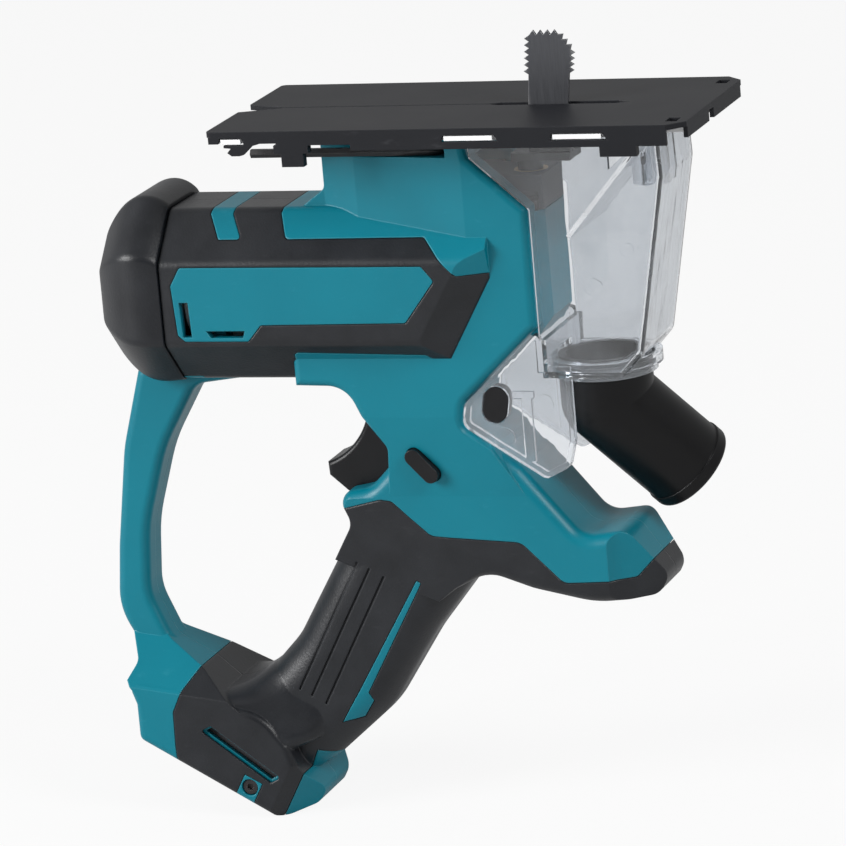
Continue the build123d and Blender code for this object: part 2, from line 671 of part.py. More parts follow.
# Motor, standing parts
motor_can = along_x(can_radius, can_rear, can_front, 0, motor_z)
motor_can = motor_can - along_x(can_radius - 1.6, can_rear - 1, can_front - 2, 0, motor_z)
motor_can = motor_can - along_x(5, can_front - 3, can_front + 1, 0, motor_z)
for i in range(6):
    motor_can = motor_can - Pos(0, 0, motor_z) * Rot(60 * i, 0, 0) * box(-76, -70, 10, 18, -2.5, 2.5)
save("motor_can", motor_can)

magnet = along_x(21.1, -132, -84, 0, motor_z) - along_x(18, -133, -83, 0, motor_z)
magnet_span = cross_block([(0, motor_z), (40, motor_z - 30), (40, motor_z + 30)], -140, -80)
magnet = magnet & magnet_span
save("magnets", Compound([magnet, mirror(magnet, about=Plane.XZ)]))

end_cap = along_x(22.6, -152, -138.2, 0, motor_z) - along_x(20.4, -146, -138, 0, motor_z)
brush_box = box(-143, -138.2, 9, 21, motor_z - 5, motor_z + 5)
end_cap = end_cap + both_sides(brush_box)
brush = box(-142.6, -138.6, 7.2, 16, motor_z - 2.4, motor_z + 2.4)
brush_way = box(-143.4, -138, 7, 18, motor_z - 2.6, motor_z + 2.6)
end_cap = end_cap - both_sides(brush_way)
end_cap = end_cap - along_x(bearing_radius + running, -151, -145, 0, motor_z)
save("motor_end_cap", end_cap)
save("brushes", Compound([brush, mirror(brush, about=Plane.XZ)]))
save("motor_rear_bearing", ring_x(bearing_radius, shaft_radius + running, -150.8, -146, motor_z))

# Motor, turning parts
fit = 0.02
motor_shaft = along_x(shaft_radius, -150.5, -34, 0, motor_z)
save("motor_shaft", motor_shaft)
armature = along_x(17.2, -128, -88, 0, motor_z) - along_x(shaft_radius + fit, -129, -87, 0, motor_z)
winding_rear = along_x(15.6, -132.5, -128, 0, motor_z) - along_x(6, -133, -127, 0, motor_z)
winding_front = along_x(15.6, -88, -83.5, 0, motor_z) - along_x(6, -89, -83, 0, motor_z)
windings = winding_rear + winding_front
slots = 10
for i in range(slots):
    turn = Pos(0, 0, motor_z) * Rot(360 * i / slots, 0, 0)
    armature = armature - turn * box(-129, -87, -2.0, 2.0, 9.6, 15.2)
    armature = armature - turn * box(-129, -87, -0.9, 0.9, 15, 18)
    windings = windings + turn * box(-128.2, -87.8, -1.7, 1.7, 9.9, 14.9)
save("armature", armature)
save("windings", windings)
commutator = along_x(7, -144.5, -134, 0, motor_z) - along_x(shaft_radius + fit, -146, -133, 0, motor_z)
for i in range(slots):
    turn = Pos(0, 0, motor_z) * Rot(360 * i / slots, 0, 0)
    commutator = commutator - turn * box(-150, -133, -0.25, 0.25, 6, 8)
save("commutator", commutator)
fan = along_x(22, -62.4, -60.8, 0, motor_z) + along_x(6, -69, -60.8, 0, motor_z)
for i in range(11):
    turn = Pos(0, 0, motor_z) * Rot(360 * i / 11, 0, 0)
    fan = fan + turn * box(-69, -62, -0.6, 0.6, 8, 21.6) + turn * box(-64, -62, -0.6, 0.6, 5, 9)
save("cooling_fan", fan - along_x(shaft_radius + fit, -80, -50, 0, motor_z))

# Gears


def gear_points(teeth, turned, thin):
    # One flank pair per tooth: root, base, pitch and tip, from the involute
    pitch = module * teeth / 2
    base = pitch * cos(radians(20))
    tip = pitch + module
    root = pitch - 1.25 * module
    low = max(base, root + 0.02)

    def angle_at(radius):
        spread = sqrt(max((radius / base) ** 2 - 1, 0))
        return spread - atan2(spread, 1)

    half_tooth = pi / (2 * teeth) - thin / pitch + angle_at(pitch)
    points = []
    for i in range(teeth):
        middle = turned + 2 * pi * i / teeth
        radii = (low, (low + pitch) / 2, pitch, (pitch + tip) / 2, tip)
        flank = [(r, half_tooth - angle_at(r)) for r in radii]
        steps = [(root, half_tooth)] + flank
        for r, a in steps:
            points.append((r * cos(middle - a), r * sin(middle - a)))
        for r, a in reversed(steps):
            points.append((r * cos(middle + a), r * sin(middle + a)))
    return points


def gear_x(teeth, turned, rear, front, z):
    lifted = Plane(origin=(rear, 0, z), x_dir=(0, 1, 0), z_dir=(1, 0, 0))
    return extrude(lifted * make_face(Polyline(*gear_points(teeth, turned, 0.06), close=True)), front - rear)


pinion = gear_x(pinion_teeth, pi / 2, -45, -35, motor_z)
save("pinion", pinion - along_x(shaft_radius + fit, -50, -30, 0, motor_z))
drive_gear = gear_x(gear_teeth, -pi / 2 + pi / gear_teeth, gear_rear, gear_front, gear_z)
for i in range(6):
    turn = Pos(0, 0, gear_z) * Rot(60 * i, 0, 0)
    drive_gear = drive_gear - turn * along_x(2.4, -50, -30, 9.6, 0)
save("drive_gear", drive_gear - along_x(crank_radius + fit, -50, -30, 0, gear_z))

crank_shaft = along_x(crank_radius, -55.8, -22, 0, gear_z) + along_x(9, -22, -17, 0, gear_z)
crank_shaft = crank_shaft - along_x(pin_radius + fit, -20, -16, -crank_arm, gear_z)
save("crank_shaft", crank_shaft)
crank_pin = along_x(pin_radius, -19.9, -8.0, -crank_arm, gear_z)
save("crank_pin", crank_pin)
roller = along_x(roller_radius, -15.6, -8.4, -crank_arm, gear_z)
save("crank_roller", roller - along_x(pin_radius + fit, -17, -7, -crank_arm, gear_z))

# Plunger with its yoke and one fixed jaw
yoke_half = 13.0
yoke = box(-15.8, -4.3, -11.5, 11.5, gear_z - yoke_half, gear_z + yoke_half)
yoke = yoke - box(-17, -3, -7.6, 7.6, gear_z - 10.6, gear_z + 10.6)
rods = along_z(rod_radius, gear_z + yoke_half - 1, -21, rod_x)
rods = rods + along_z(tail_radius, -75, gear_z - yoke_half + 1, rod_x)
jaw_foot = box(-14, 8, -7, 7, -22, -19)
jaw_fixed = box(-7, 8, blade_half + 0.05, 7, -22, -10.9)
screw_at = -14.6
plunger = yoke + rods + jaw_foot + jaw_fixed - along_y(2.0, -10, 10, 0.5, screw_at)
save("plunger", plunger)
blade_clamp = box(-7, 8, -6.2, -blade_half - 0.05, -18.9, -10.9) - along_y(2.0, -10, 10, 0.5, screw_at)
save("blade_clamp", blade_clamp)
save("clamp_screw", screw_y(0.5, screw_at, -8.8, -6.2, 3.4, 1.9, 6.4))

# Blade: teeth on the left side, the top and the upper right


def toothed(start, end, count, height):
    # Points of a row of teeth to the left of the way from start to end
    sx, sy = start
    ex, ey = end
    length = hypot(ex - sx, ey - sy)
    ux, uy = (ex - sx) / length, (ey - sy) / length
    points = []
    for i in range(count):
        along = length * i / count
        points.append((sx + ux * along, sy + uy * along))
        along = length * (i + 0.5) / count
        points.append((sx + ux * along + uy * height, sy + uy * along - ux * height))
    return points


tang = [(-6.2, -18.6), (7, -18.6), (7, -8)]
cutting = [(6.6, -4)]
cutting += toothed((6.6, 8), (6.6, 16.5), 4, 1.7)
cutting += toothed((6.6, 16.5), (1.6, 22.2), 3, 1.6)
cutting += toothed((1.6, 22.2), (-9, 22.2), 4, 1.7)
cutting += toothed((-9, 22.2), (-8.6, 8), 6, 1.8)
cutting += [(-8.6, 8), (-8.2, -4)]
blade_points = tang + [(x + blade_lean * (z + 4), z) for x, z in cutting] + [(-6.2, -8)]
blade = side_block(blade_points, -blade_half, blade_half)
save("blade", blade - along_y(2.1, -5, 5, 0.5, screw_at))

# Trigger, lock-off, switch and wiring
trigger_edges = [
    ThreePointArc((-11.6, -138.2), (-11.8, -150), (-17.8, -161)),
    Line((-17.8, -161), (-15.2, -165.2)),
    Line((-15.2, -165.2), (-6.5, -167.2)),
    Line((-6.5, -167.2), (9, -167.2)),
    Line((9, -167.2), (9, -143.6)),
    Line((9, -143.6), (-1, -143.6)),
    Line((-1, -143.6), (-1, -138.2)),
    Line((-1, -138.2), (-11.6, -138.2)),
]
trigger_half = 10.5
lifted = Plane(origin=(0, trigger_half, 0), x_dir=hand_plane.x_dir, z_dir=hand_plane.z_dir)
trigger = extrude(lifted * make_face(trigger_edges), 2 * trigger_half)
front_edges = [e for e in trigger.edges() if e.bounding_box().max.Y - e.bounding_box().min.Y < 0.01
               and e.center().X < hand(-8, -150)[0]]
trigger = fillet(front_edges, 2.0)
trigger = trigger - hand_box(-4, 10, -165.2, -145.6, -8.5, 8.5) + hand_box(-6, 11, -160, -153, -3, 3)
save("trigger", trigger)

lock_off = pill(lock_x, lock_z, lock_length, lock_width, lock_angle, -25.4, 22.9)
save("lock_off_button", lock_off)
switch_body = hand_box(18, 40, -172, -146, -9, 9) + hand_box(20, 36, -176, -172, -5, 5)
switch_body = switch_body - hand_box(17, 22, -160.5, -152.5, -3.6, 3.6)
save("switch_body", switch_body)

terminal_block = hand_box(-14, 14, -276, -263, -11, 11)
contacts = []
for y in (-7, 0, 7):
    terminal_block = terminal_block - hand_box(-8, 10, -277, -268, y - 0.8, y + 0.8)
    contacts.append(hand_box(-6, 8, -284, -268, y - 0.4, y + 0.4))
# Side wings stand behind the slots of the foot
wing = hand_block(inset_points(slot_window, -1.2), -21.6, -20.4) & hand_box(-25, 17.8, -285, -260, -30, 0)
wing = wing + hand_box(-9, 9, -275, -270.5, -21, -10.5)
terminal_block = terminal_block + both_sides(wing)
save("terminal_block", terminal_block)
save("terminal_contacts", Compound(contacts))
save("control_board", hand_box(8, 24, -252, -226, -1, 0.6) + hand_box(12, 20, -246, -234, 0.6, 2.6))


def wire(points, y, radius):
    path = Spline(*[(x, y, z) for x, z in points])
    start = Plane(origin=path @ 0, z_dir=path % 0)
    return sweep(start * Circle(radius), path=path)


lead_points = [hand(t, n)[::2] for t, n in ((6, -262.8), (9, -245), (18, -212), (27, -177))]
save("battery_leads", Compound([wire(lead_points, y, 1.1) for y in (-5.5, 5.5)]))
motor_lead_points = [
    hand(34, -145.6)[::2], (-40.5, -128), (-45, -112), (-58, -99.5), (-75, -94.4),
    (-100, -94), (-135, -94), (-147, -92.6),
]
save("motor_leads", Compound([wire(motor_lead_points, y, 1.1) for y in (-5, 5)]))

# Clear dust case: a box in front of the housing with two cheeks below

case_outline = [
    (-3.6, -98), (26, -98), (33.4, -90, 6), (45.4, -26, 6), (44.8, -9.2), (-24.8, -9.2), (-24.4, -17.2, 1),
    (-3.6, -36.2, 2),
]
cheek_outline = [
    (-33.8, -107.3, 4), (-35, -115.3, 4), (-5, -135, 3), (4, -130.5, 3), (6.5, -121, 4), (6.5, -94),
    (-3.6, -94), (-3.6, -79.4, 2),
]
inner_half = case_half - case_wall
cheek_inner = 19.8


def case_form(inset):
    # Both halves of the case's outer or inner form, with its upright front corners rounded
    half = case_half - inset
    block = side_block(inset_points(case_outline, inset), -half, 0.0)
    corner = [e for e in block.edges() if e.center().X > 25 and e.bounding_box().max.Y < 0.001 - half]
    return both_sides(fillet(corner, case_corner - inset))


case = case_form(0.0) - case_form(case_wall)
way_in = [(-30, -84), (0, -84), (0, -34), (-20, -14), (-20, -4), (-30, -4)]
case = case - side_block(way_in, -inner_half, inner_half)
case = case - box(-30, 27, -inner_half, inner_half, -12, 0)
cheek = side_block(cheek_outline, -case_half, -inner_half)
cheek_rim = side_block(cheek_outline, -case_half, -cheek_inner)
cheek_rim = cheek_rim - side_block(inset_points(cheek_outline, case_wall), -case_half - 1, 0)
cheek_post = box(-12.8, -9, -inner_half, -cheek_inner, -129, -104)
cheek_post = cheek_post + box(-16, -8, -inner_half, -cheek_inner, -105.6, -103)
cheek_post = cheek_post + along_y(3.9, -case_half - 0.6, -inner_half, -19.3, -119.7)
case = case + both_sides(cheek + cheek_rim + cheek_post)
case = case - pill(-22.2, -107.6, 14, 9.8, 80, -case_half - 1, -17)
case = case + along_z(20.8, -97.8, -93.6, neck_x) + along_z(18.8, -100.4, -97.8, neck_x)
case = case - along_z(nozzle_radius + running, -110, -90, neck_x)
case = case - along_z(nozzle_radius + 1.5, -97.5, -95.3, neck_x)
baffle = [(9, -46), (10.4, -47), (37.4, -16), (36, -15)]
case = case + side_block(baffle, -inner_half - 0.5, inner_half + 0.5)
case = case + (along_z(6, -31.6, -9.2, 35) - along_z(2, -33, -6, 35)) + box(38, 44, -0.9, 0.9, -30, -9.2)
for x, z, radius in ((3.7, -75.1, 3.3), (17.7, -61.6, 2.6)):
    case = case + along_y(radius, inner_half - 0.4, inner_half + 0.4, x, z)
corner_cut = [(27, -6), (27, -22), (37, -13.5), (39.5, -6)]
case = case - side_block(corner_cut, -30, 30)
save("dust_case", case)
save("case_catch", pill(-22.2, -107.6, 13.4, 9.2, 80, -case_half + 0.6, -17))

# Elbow nozzle, turned away to the far side; a bead holds it in the collar
slope = radians(nozzle_slope)
turn = radians(nozzle_turn)
out_dir = (cos(slope) * cos(turn), cos(slope) * sin(turn), -sin(slope))
side_dir = (-sin(turn), cos(turn), 0)


def outlet_plane(along):
    x, y, z = out_dir
    start = (neck_x + along * x, along * y, nozzle_drop + along * z)
    return Plane(origin=start, x_dir=side_dir, z_dir=out_dir)


def elbow(radius, top, reach):
    neck = along_z(radius, nozzle_drop, top, neck_x)
    bend = Pos(neck_x, 0, nozzle_drop) * Sphere(radius)
    return neck + bend + extrude(outlet_plane(0) * Circle(radius), reach)


nozzle = elbow(nozzle_radius, -93.2, nozzle_reach) + along_z(nozzle_radius + 1.2, -97.2, -95.6, neck_x)
nozzle = nozzle + extrude(outlet_plane(nozzle_reach - 5) * Circle(nozzle_radius + 0.5), 5)
outer_rim = nozzle.edges().filter_by(GeomType.CIRCLE).sort_by(Axis.Z)[:1]
nozzle = fillet(outer_rim, 1.6) - elbow(nozzle_radius - nozzle_wall, -90, nozzle_reach + 1)
save("nozzle", nozzle)
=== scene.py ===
import bpy
from mathutils import Matrix, Vector


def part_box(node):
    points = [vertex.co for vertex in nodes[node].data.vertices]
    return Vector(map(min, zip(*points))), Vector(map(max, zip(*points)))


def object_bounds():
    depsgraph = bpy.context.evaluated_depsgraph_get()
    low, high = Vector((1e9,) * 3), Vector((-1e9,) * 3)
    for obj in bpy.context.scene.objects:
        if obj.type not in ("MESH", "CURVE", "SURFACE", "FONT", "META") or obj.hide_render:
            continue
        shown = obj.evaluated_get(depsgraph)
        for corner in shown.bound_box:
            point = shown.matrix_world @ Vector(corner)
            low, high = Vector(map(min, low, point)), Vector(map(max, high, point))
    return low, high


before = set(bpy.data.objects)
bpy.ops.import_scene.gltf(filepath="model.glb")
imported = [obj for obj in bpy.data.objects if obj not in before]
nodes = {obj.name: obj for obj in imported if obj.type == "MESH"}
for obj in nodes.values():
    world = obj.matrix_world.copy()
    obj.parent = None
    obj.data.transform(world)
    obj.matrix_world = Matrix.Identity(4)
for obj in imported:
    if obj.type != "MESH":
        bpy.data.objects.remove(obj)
cadLow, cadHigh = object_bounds()
print("drywall saw:", len(nodes), "CAD pieces loaded")


class Flow:
    # an output socket of a shader tree, so that shader maths reads as plain Python
    def __init__(self, tree, out):
        self.tree = tree
        self.out = out

    # any node: settings go in first, then the values or links of its sockets
    def node(self, kind, settings=None, inputs=None, out=0):
        made = self.tree.nodes.new("ShaderNode" + kind)
        for key, value in (settings or {}).items():
            setattr(made, key, value)
        for key, value in (inputs or {}).items():
            if isinstance(value, Flow):
                self.tree.links.new(value.out, made.inputs[key])
            else:
                made.inputs[key].default_value = value
        return Flow(self.tree, made.outputs[out]) if made.outputs else None

    def maths(self, operation, first, second):
        return self.node("Math", {"operation": operation}, {0: first, 1: second})

    def __add__(self, other):
        return self.maths("ADD", self, other)

    def __radd__(self, other):
        return self.maths("ADD", other, self)

    def __sub__(self, other):
        return self.maths("SUBTRACT", self, other)

    def __rsub__(self, other):
        return self.maths("SUBTRACT", other, self)

    def __mul__(self, other):
        return self.maths("MULTIPLY", self, other)

    def __rmul__(self, other):
        return self.maths("MULTIPLY", other, self)


# helpers that the finishes share; lengths are in metres
plainWhite = (1, 1, 1, 1)
cornerLook = {"samples": 6, "maskFrom": 0.01, "maskTo": 0.22}
# a wave texture of scale 1 repeats after this length
wavePeriod = 0.314


def startFinish(name):
    material = bpy.data.materials.new(name)
    material.use_nodes = True
    material.node_tree.nodes.clear()
    coords = material.node_tree.nodes.new("ShaderNodeTexCoord")
    return material, Flow(material.node_tree, coords.outputs["Object"])


def endFinish(material, place, sockets):
    shader = place.node("BsdfPrincipled", {}, sockets)
    place.node("OutputMaterial", {}, {"Surface": shader})
    return material


def noise(place, size, detail=2.0, rough=0.5, squeeze=(1, 1, 1)):
    # size is the grain; a squeeze below 1 draws it out along that axis
    spot = place.node("VectorMath", {"operation": "MULTIPLY"}, {0: place, 1: squeeze})
    return place.node("TexNoise", {}, {
        "Vector": spot, "Scale": 1 / size, "Detail": detail, "Roughness": rough})


def swing(value, reach):
    # noise runs about a half, this runs about zero
    return (value - 0.5) * reach


def ease(value, low, high, first=0.0, second=1.0):
    return value.node("MapRange", {"interpolation_type": "SMOOTHSTEP"}, {
        "Value": value, "From Min": low, "From Max": high, "To Min": first, "To Max": second})


def tint(mask, first, second):
    return mask.node("Mix", {"data_type": "RGBA"}, {0: mask, 6: first, 7: second}, 2)


def relief(height, strength, depth, normal=None):
    sockets = {"Strength": strength, "Distance": depth, "Height": height}
    if normal is not None:
        sockets["Normal"] = normal
    return height.node("Bump", {}, sockets)


def roundEdges(place, radius):
    # softened corners for the shine, and a mask that is high on those corners
    rounded = place.node("Bevel", {"samples": cornerLook["samples"]}, {"Radius": radius})
    flat = place.node("NewGeometry", {}, {}, "Normal")
    same = place.node("VectorMath", {"operation": "DOT_PRODUCT"}, {0: rounded, 1: flat}, "Value")
    return rounded, ease(1 - same, cornerLook["maskFrom"], cornerLook["maskTo"])


def axisOf(place, axis):
    return place.node("SeparateXYZ", {}, {0: place}, axis)


def dress(material, slot, *names):
    for name in names:
        piece = nodes[name]
        piece.data.materials.clear()
        piece.data.materials.append(material)


# moulded plastics: grain, clouding in the pigment, scuffs and paler worn corners
mouldedLook = {
    "scuff": 0.009, "scuffDetail": 5.0, "scuffBreak": 0.65, "scuffSqueeze": (1, 1, 2.4),
    "scuffFrom": 0.6, "scuffTo": 0.78, "cloudDetail": 3.0,
    "cloudRough": 0.12, "scuffRough": 0.08, "edgeRough": 0.06, "depth": 0.00012,
}


def plasticFinish(name, ownLook):
    look = {**mouldedLook, **ownLook}
    material, place = startFinish(name)
    rounded, edge = roundEdges(place, look["corner"])
    grain = noise(place, look["grain"])
    cloud = noise(place, look["cloud"], look["cloudDetail"])
    scuff = noise(place, look["scuff"], look["scuffDetail"], look["scuffBreak"], look["scuffSqueeze"])
    scuff = ease(scuff, look["scuffFrom"], look["scuffTo"])
    colour = tint(cloud, look["deep"], look["pale"])
    colour = tint(scuff * look["scuffed"], colour, look["worn"])
    colour = tint(edge * look["edgeWear"], colour, look["worn"])
    rough = look["rough"] + swing(cloud, look["cloudRough"])
    rough = rough + scuff * look["scuffRough"] - edge * look["edgeRough"]
    bump = relief(grain, look["bump"], look["depth"], rounded)
    return endFinish(material, place, {
        "Base Color": colour, "Roughness": rough, "Specular IOR Level": look["shine"], "Normal": bump})


housingLook = {
    "deep": (0.0, 0.139, 0.191, 1), "pale": (0.0, 0.173, 0.232, 1), "worn": (0.05, 0.31, 0.38, 1),
    "rough": 0.36, "shine": 0.28, "bump": 0.2, "grain": 0.00045, "cloud": 0.03,
    "corner": 0.0007, "edgeWear": 0.5, "scuffed": 0.12,
}
dress(plasticFinish("teal moulding", housingLook), "teal_plastic", "housing_left", "housing_right")

overmouldLook = {
    "deep": (0.004, 0.0048, 0.0066, 1), "pale": (0.016, 0.0176, 0.0215, 1),
    "worn": (0.05, 0.053, 0.06, 1),
    "rough": 0.37, "shine": 0.38, "bump": 0.6, "grain": 0.0009, "cloud": 0.012,
    "corner": 0.001, "edgeWear": 0.35, "scuffed": 0.15,
}
dress(plasticFinish("soft black moulding", overmouldLook), "soft_black",
      "barrel_sleeve_left", "barrel_sleeve_right", "grip_sleeve_left", "grip_sleeve_right", "rear_cover")

baseLook = {
    "deep": (0.007, 0.0076, 0.0098, 1), "pale": (0.013, 0.0138, 0.017, 1),
    "worn": (0.07, 0.072, 0.08, 1),
    "rough": 0.48, "shine": 0.2, "bump": 0.3, "grain": 0.0005, "cloud": 0.05,
    "corner": 0.0005, "edgeWear": 0.3, "scuffed": 0.25,
}
dress(plasticFinish("base cover plastic", baseLook), "cover_black", "base_cover")

nozzleLook = {
    "deep": (0.003, 0.003, 0.0035, 1), "pale": (0.006, 0.006, 0.0065, 1),
    "worn": (0.035, 0.035, 0.037, 1),
    "rough": 0.36, "shine": 0.2, "bump": 0.12, "grain": 0.0009, "cloud": 0.02,
    "corner": 0.0006, "edgeWear": 0.25, "scuffed": 0.1,
}
dress(plasticFinish("nozzle rubber", nozzleLook), "nozzle_black", "nozzle")

buttonLook = {
    "deep": (0.006, 0.006, 0.007, 1), "pale": (0.011, 0.011, 0.012, 1), "worn": (0.05, 0.05, 0.052, 1),
    "rough": 0.3, "shine": 0.22, "bump": 0.2, "grain": 0.0004, "cloud": 0.01,
    "corner": 0.0006, "edgeWear": 0.3, "scuffed": 0.15,
}
dress(plasticFinish("button plastic", buttonLook), "inner_plastic",
      "trigger", "lock_off_button", "case_catch")

innerLook = {
    "deep": (0.03, 0.03, 0.033, 1), "pale": (0.055, 0.055, 0.06, 1), "worn": (0.12, 0.12, 0.125, 1),
    "rough": 0.55, "shine": 0.4, "bump": 0.3, "grain": 0.0004, "cloud": 0.008,
    "corner": 0.0004, "edgeWear": 0.25, "scuffed": 0.1,
}
dress(plasticFinish("inner nylon", innerLook), "inner_plastic",
      "motor_end_cap", "cooling_fan", "switch_body", "terminal_block")

carbonLook = {
    "deep": (0.018, 0.018, 0.019, 1), "pale": (0.045, 0.045, 0.046, 1), "worn": (0.1, 0.1, 0.1, 1),
    "rough": 0.7, "shine": 0.3, "bump": 0.6, "grain": 0.0003, "cloud": 0.002,
    "corner": 0.0003, "edgeWear": 0.4, "scuffed": 0.3,
}
dress(plasticFinish("carbon and ferrite", carbonLook), "carbon", "brushes", "magnets")
print("plastics dressed")


# metals: directional marks from rolling or grinding, stains, brighter corners
workedLook = {"markBreak": 0.6, "stainDetail": 4.0, "stainRough": 0.12, "depth": 0.00006}


def metalFinish(name, ownLook):
    look = {**workedLook, **ownLook}
    material, place = startFinish(name)
    rounded, edge = roundEdges(place, look["corner"])
    marks = noise(place, look["marks"], rough=look["markBreak"], squeeze=look["along"])
    stain = noise(place, look["stain"], look["stainDetail"], look["markBreak"])
    colour = tint(stain, look["deep"], look["pale"])
    colour = tint(edge * look["edgeWear"], colour, look["worn"])
    rough = look["rough"] + swing(marks, look["uneven"]) + swing(stain, look["stainRough"])
    bump = relief(marks, look["bump"], look["depth"], rounded)
    return endFinish(material, place, {
        "Base Color": colour, "Metallic": look["metal"], "Roughness": rough, "Normal": bump})


zincLook = {
    "deep": (0.8, 0.81, 0.82, 1), "pale": (0.92, 0.92, 0.93, 1), "worn": (0.97, 0.97, 0.97, 1),
    "metal": 0.2, "rough": 0.34, "uneven": 0.25, "bump": 0.25, "marks": 0.0004, "along": (0.12, 1, 1),
    "stain": 0.006, "corner": 0.0003, "edgeWear": 0.5,
}
dress(metalFinish("bright zinc plate", zincLook), "zinc_steel",
      "base_plate", "base_bracket", "base_screws", "motor_can")

groundLook = {
    "deep": (0.42, 0.42, 0.44, 1), "pale": (0.58, 0.58, 0.6, 1), "worn": (0.75, 0.75, 0.76, 1),
    "metal": 1.0, "rough": 0.28, "uneven": 0.3, "bump": 0.25, "marks": 0.0003, "along": (1, 1, 0.15),
    "stain": 0.004, "corner": 0.0003, "edgeWear": 0.5,
}
dress(metalFinish("ground steel", groundLook), "plain_steel",
      "motor_front_bearing", "motor_rear_bearing", "crank_rear_bearing", "crank_front_bearing",
      "motor_shaft", "pinion", "drive_gear", "crank_shaft", "crank_pin", "crank_roller")

oxideLook = {
    "deep": (0.03, 0.029, 0.03, 1), "pale": (0.06, 0.057, 0.058, 1), "worn": (0.3, 0.29, 0.29, 1),
    "metal": 0.75, "rough": 0.42, "uneven": 0.2, "bump": 0.3, "marks": 0.0004, "along": (0.2, 1, 1),
    "stain": 0.004, "corner": 0.00025, "edgeWear": 0.45,
}
dress(metalFinish("black oxide steel", oxideLook), "black_oxide",
      "hex_wrench", "housing_screws", "foot_screws", "plunger", "blade_clamp", "clamp_screw")

castLook = {
    "deep": (0.014, 0.015, 0.019, 1), "pale": (0.028, 0.03, 0.036, 1), "worn": (0.2, 0.2, 0.21, 1),
    "metal": 0.3, "rough": 0.5, "uneven": 0.2, "bump": 0.6, "marks": 0.0006, "along": (1, 1, 1),
    "stain": 0.008, "corner": 0.0006, "edgeWear": 0.2,
}
dress(metalFinish("coated casting", castLook), "coated_casting", "gear_case")

bronzeLook = {
    "deep": (0.42, 0.27, 0.12, 1), "pale": (0.58, 0.39, 0.18, 1), "worn": (0.75, 0.55, 0.3, 1),
    "metal": 1.0, "rough": 0.45, "uneven": 0.2, "bump": 0.5, "marks": 0.0003, "along": (1, 1, 1),
    "stain": 0.003, "corner": 0.0003, "edgeWear": 0.4,
}
dress(metalFinish("sintered bronze", bronzeLook), "bronze", "upper_bush", "lower_bush", "terminal_contacts")
print("metals dressed")


# blade: dark coating, bare ground steel along both toothed sides, long drawn scratches
bladeLook = {
    "coat": (0.06, 0.062, 0.069, 1), "coatPale": (0.1, 0.103, 0.113, 1), "bare": (0.42, 0.42, 0.43, 1),
    "metal": 0.6, "rough": 0.4, "uneven": 0.25, "corner": 0.0003, "edgeWear": 0.7,
    "drawn": 0.0006, "drawnDetail": 3.0, "drawnBreak": 0.6, "along": (1, 1, 0.06),
    "stain": 0.004, "stainDetail": 4.0, "bump": 0.2, "depth": 0.00006,
    "toothBand": 0.0022, "bandCore": 0.2, "ragged": 0.0012, "bared": 0.35,
}


def bladeFinish(look):
    material, place = startFinish("coated blade steel")
    low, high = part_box("blade")
    rounded, edge = roundEdges(place, look["corner"])
    drawn = noise(place, look["drawn"], look["drawnDetail"], look["drawnBreak"], look["along"])
    stain = noise(place, look["stain"], look["stainDetail"])
    side = axisOf(place, "X")
    near = side.maths("MINIMUM", side - low.x, high.x - side)
    band = look["toothBand"]
    bare = ease(near + swing(stain, look["ragged"]), band, band * look["bandCore"]) * look["bared"]
    colour = tint(drawn, look["coat"], look["coatPale"])
    colour = tint(bare.maths("MAXIMUM", bare, edge * look["edgeWear"]), colour, look["bare"])
    bump = relief(drawn, look["bump"], look["depth"], rounded)
    return endFinish(material, place, {
        "Base Color": colour, "Metallic": look["metal"],
        "Roughness": look["rough"] + swing(drawn, look["uneven"]), "Normal": bump})


dress(bladeFinish(bladeLook), "blade_steel", "blade")


# clear dust case: grey tint, ripples of the moulding, haze, and a painted reflection low on its cheeks
clearLook = {
    "body": (0.72, 0.742, 0.768, 1), "dust": (0.66, 0.682, 0.708, 1), "haze": (0.7, 0.73, 0.77, 1),
    "shadow": (0.9, 0.92, 0.93, 1), "rough": 0.02, "bend": 1.46, "coat": 0.3, "coatRough": 0.03,
    "cloud": 0.02, "cloudDetail": 4.0, "cloudFrom": 0.45, "cloudTo": 0.75, "cloudRough": 0.05,
    "flow": 0.008, "along": (1, 1, 0.14), "ripple": 0.3, "depth": 0.0006,
    # the last three entries set a painted reflection: a pale diffuse veil that thickens towards the bottom
    # of the case
    "veil": 0.012, "cloudVeil": 0.04, "paintedReflection": 0.07, "reflectionFrom": -0.09, "reflectionTo": -0.106,
}


def clearFinish(look):
    material, place = startFinish("clear case plastic")
    haze = ease(noise(place, look["cloud"], look["cloudDetail"]), look["cloudFrom"], look["cloudTo"])
    colour = tint(haze, look["body"], look["dust"])
    bump = relief(noise(place, look["flow"], squeeze=look["along"]), look["ripple"], look["depth"])
    clear = place.node("BsdfPrincipled", {}, {
        "Base Color": colour, "Roughness": look["rough"] + haze * look["cloudRough"],
        "IOR": look["bend"], "Transmission Weight": 1.0,
        "Coat Weight": look["coat"], "Coat Roughness": look["coatRough"], "Normal": bump})
    veil = place.node("BsdfDiffuse", {}, {"Color": look["haze"], "Normal": bump})
    # painted reflection: the pale diffuse veil thickens towards the bottom of the case, whitening its lower
    # cheeks as reflected light would
    paintedReflection = ease(axisOf(place, "Z"), look["reflectionFrom"], look["reflectionTo"])
    cover = look["veil"] + haze * look["cloudVeil"] + paintedReflection * look["paintedReflection"]
    shader = place.node("MixShader", {}, {0: cover, 1: clear, 2: veil})
    # lamps shine through the case as through a thin clear wall
    letThrough = place.node("BsdfTransparent", {}, {"Color": look["shadow"]})
    shadow = place.node("LightPath", {}, {}, "Is Shadow Ray")
    both = place.node("MixShader", {}, {0: shadow, 1: shader, 2: letThrough})
    place.node("OutputMaterial", {}, {"Surface": both})
    return material


dress(clearFinish(clearLook), "clear_plastic", "dust_case")
print("blade and clear case dressed")


